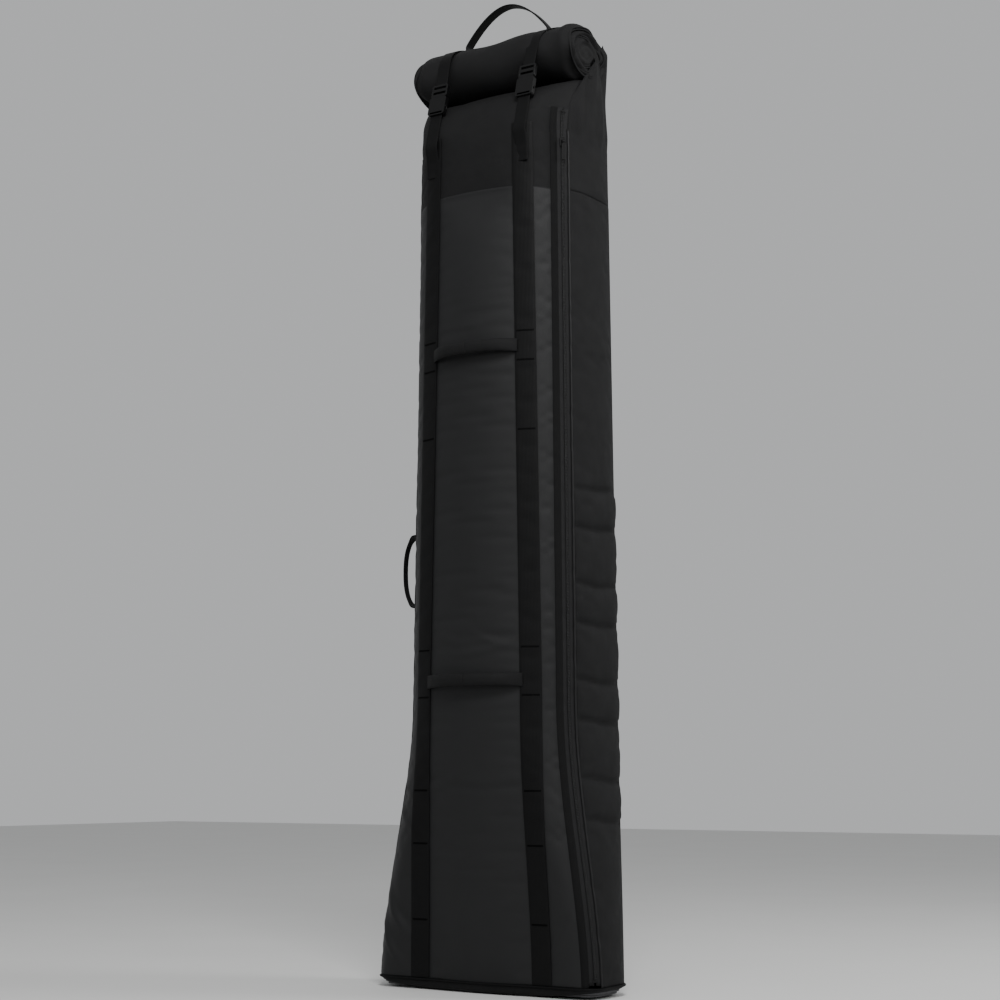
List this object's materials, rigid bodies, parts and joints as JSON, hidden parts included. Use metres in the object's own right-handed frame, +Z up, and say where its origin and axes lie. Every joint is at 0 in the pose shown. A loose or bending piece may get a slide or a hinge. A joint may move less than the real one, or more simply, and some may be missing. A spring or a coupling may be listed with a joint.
{
  "type": "ski bag",
  "caption": "Tall padded roll-top ski bag standing on a flared base, with a full-length corner zip, webbing straps buckled over the roll, and grab, side and haul handles.",
  "frame": {"origin": "centre of the flat underside of the base", "axes": "+Z up along the bag, -Y out of the front face, +X to the right seen from the front"},
  "size_m": [0.4576, 0.2659, 1.7844],
  "materials": {
    "coated_fabric": "smooth coated, low sheen",
    "nylon": "matte woven",
    "webbing": "matte ribbed weave",
    "foam": "matte closed-cell foam",
    "lining": "smooth thin weave",
    "buckle_plastic": "satin",
    "zip": "satin",
    "piping": "coated, low sheen"
  },
  "bodies": {
    "bag": {"front_panel": "coated_fabric", "front_collar": "nylon", "back_panel": "nylon", "back_collar": "nylon", "left_side_panel": "nylon", "right_side_panel": "nylon", "left_gusset": "nylon", "right_gusset": "nylon", "base_panel": "nylon", "base_edge": "nylon", "base_board": "buckle_plastic", "base_pad": "foam", "lining": "lining", "lining_floor": "lining", "front_foam": "foam", "back_foam": "foam", "left_ribs": "foam", "right_ribs": "foam", "zip_front_tape": "nylon", "zip_side_tape": "nylon", "zip_coil": "zip", "zip_binding": "webbing", "zip_stops": "zip", "left_piping": "piping", "right_piping": "piping", "base_piping": "piping", "left_front_webbing": "webbing", "right_front_webbing": "webbing", "left_back_webbing": "webbing", "right_back_webbing": "webbing", "bartacks": "webbing", "left_lower_strap": "webbing", "right_lower_strap": "webbing", "left_closure_strap": "webbing", "right_closure_strap": "webbing", "left_buckle_socket": "buckle_plastic", "right_buckle_socket": "buckle_plastic", "left_buckle_plug": "buckle_plastic", "right_buckle_plug": "buckle_plastic", "upper_grab_ends": "nylon", "lower_grab_ends": "nylon", "side_handle_ends": "webbing", "haul_handle_ends": "webbing", "roll_top": "nylon", "roll_stiffener": "buckle_plastic"},
    "zip_slider": {"zip_slider": "zip"},
    "zip_pull": {"zip_pull": "zip"},
    "haul_handle": {"haul_handle_loop": "webbing"},
    "side_handle": {"side_handle_loop": "webbing"},
    "upper_grab_grip": {"upper_grab_sleeve": "nylon", "upper_grab_core": "foam"},
    "lower_grab_grip": {"lower_grab_sleeve": "nylon", "lower_grab_core": "foam"},
    "left_buckle_left_prong": {"left_buckle_left_prong": "buckle_plastic"},
    "left_buckle_right_prong": {"left_buckle_right_prong": "buckle_plastic"},
    "right_buckle_left_prong": {"right_buckle_left_prong": "buckle_plastic"},
    "right_buckle_right_prong": {"right_buckle_right_prong": "buckle_plastic"}
  },
  "joints": [
    {"name": "zip_slide", "type": "slide", "parent": "bag", "child": "zip_slider", "axis": [0.0098, -0.0025, -0.9999], "range_m": [0, 0.95]},
    {"name": "zip_pull_swing", "type": "hinge", "parent": "zip_slider", "child": "zip_pull", "pos_m": [0.15748, -0.04398, 1.47807], "axis": [0.5446, 0.8387, 0.0032], "range_deg": [-150, 0]},
    {"name": "haul_handle_swing", "type": "hinge", "parent": "bag", "child": "haul_handle", "pos_m": [0, 0.022, 1.7124], "axis": [1, 0, 0], "range_deg": [-45, 45], "stiffness_Nm_per_rad": 0.05},
    {"name": "side_handle_swing", "type": "hinge", "parent": "bag", "child": "side_handle", "pos_m": [-0.17665, 0.004, 0.735], "axis": [0, 0, 1], "range_deg": [-35, 35], "stiffness_Nm_per_rad": 0.03},
    {"name": "upper_grab_flex", "type": "hinge", "parent": "bag", "child": "upper_grab_grip", "pos_m": [0, -0.09017, 1.109], "axis": [1, 0, 0], "range_deg": [-38, 38], "stiffness_Nm_per_rad": 0.05},
    {"name": "lower_grab_flex", "type": "hinge", "parent": "bag", "child": "lower_grab_grip", "pos_m": [0, -0.09192, 0.527], "axis": [1, 0, 0], "range_deg": [-38, 38], "stiffness_Nm_per_rad": 0.05},
    {"name": "left_buckle_right_prong_flex", "type": "hinge", "parent": "bag", "child": "left_buckle_right_prong", "pos_m": [-0.0845, -0.06653, 1.60082], "axis": [0, 0.9675, -0.2529], "range_deg": [0, 6.5], "stiffness_Nm_per_rad": 0.4},
    {"name": "left_buckle_left_prong_flex", "type": "hinge", "parent": "bag", "child": "left_buckle_left_prong", "pos_m": [-0.1055, -0.06653, 1.60082], "axis": [0, 0.9675, -0.2529], "range_deg": [-6.5, 0], "stiffness_Nm_per_rad": 0.4},
    {"name": "right_buckle_right_prong_flex", "type": "hinge", "parent": "bag", "child": "right_buckle_right_prong", "pos_m": [0.1055, -0.06653, 1.60082], "axis": [0, 0.9675, -0.2529], "range_deg": [0, 6.5], "stiffness_Nm_per_rad": 0.4},
    {"name": "right_buckle_left_prong_flex", "type": "hinge", "parent": "bag", "child": "right_buckle_left_prong", "pos_m": [0.0845, -0.06653, 1.60082], "axis": [0, 0.9675, -0.2529], "range_deg": [-6.5, 0], "stiffness_Nm_per_rad": 0.4}
  ],
  "couplings": [
    {"joint": "left_buckle_left_prong_flex", "follows": "left_buckle_right_prong_flex", "ratio": -1},
    {"joint": "right_buckle_left_prong_flex", "follows": "right_buckle_right_prong_flex", "ratio": -1}
  ]
}
